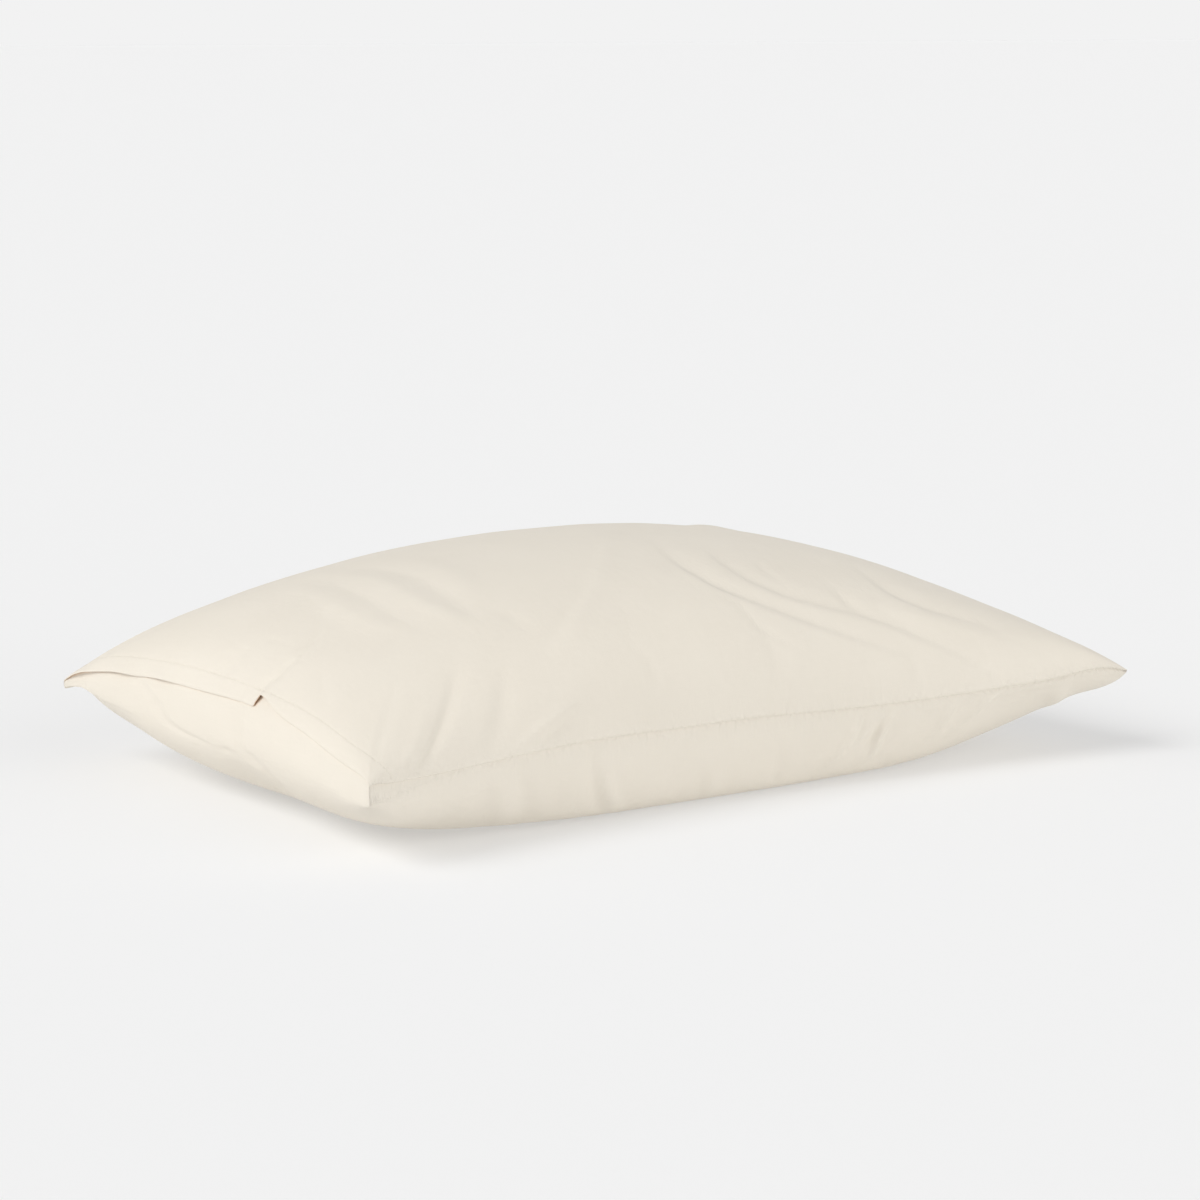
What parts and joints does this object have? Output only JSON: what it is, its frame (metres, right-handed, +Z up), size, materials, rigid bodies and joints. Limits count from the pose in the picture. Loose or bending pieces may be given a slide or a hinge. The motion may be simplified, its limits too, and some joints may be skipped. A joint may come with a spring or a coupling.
{
  "type": "pillowcase filled by a bed pillow",
  "caption": "Cream cotton envelope pillowcase on a plump bed pillow, with a free hem over a tucked-in flap, side seams and soft creases.",
  "frame": {"origin": "on the surface it rests on, under the middle of the case", "axes": "+X towards the sewn closed end, -X towards the open end with the free hem, +Z up through the crown"},
  "size_m": [0.7212, 0.4684, 0.1847],
  "materials": {
    "back_cotton": "matt",
    "front_cotton": "matt"
  },
  "bodies": {
    "root": {"back_panel": "back_cotton", "front_panel": "front_cotton"}
  },
  "joints": []
}
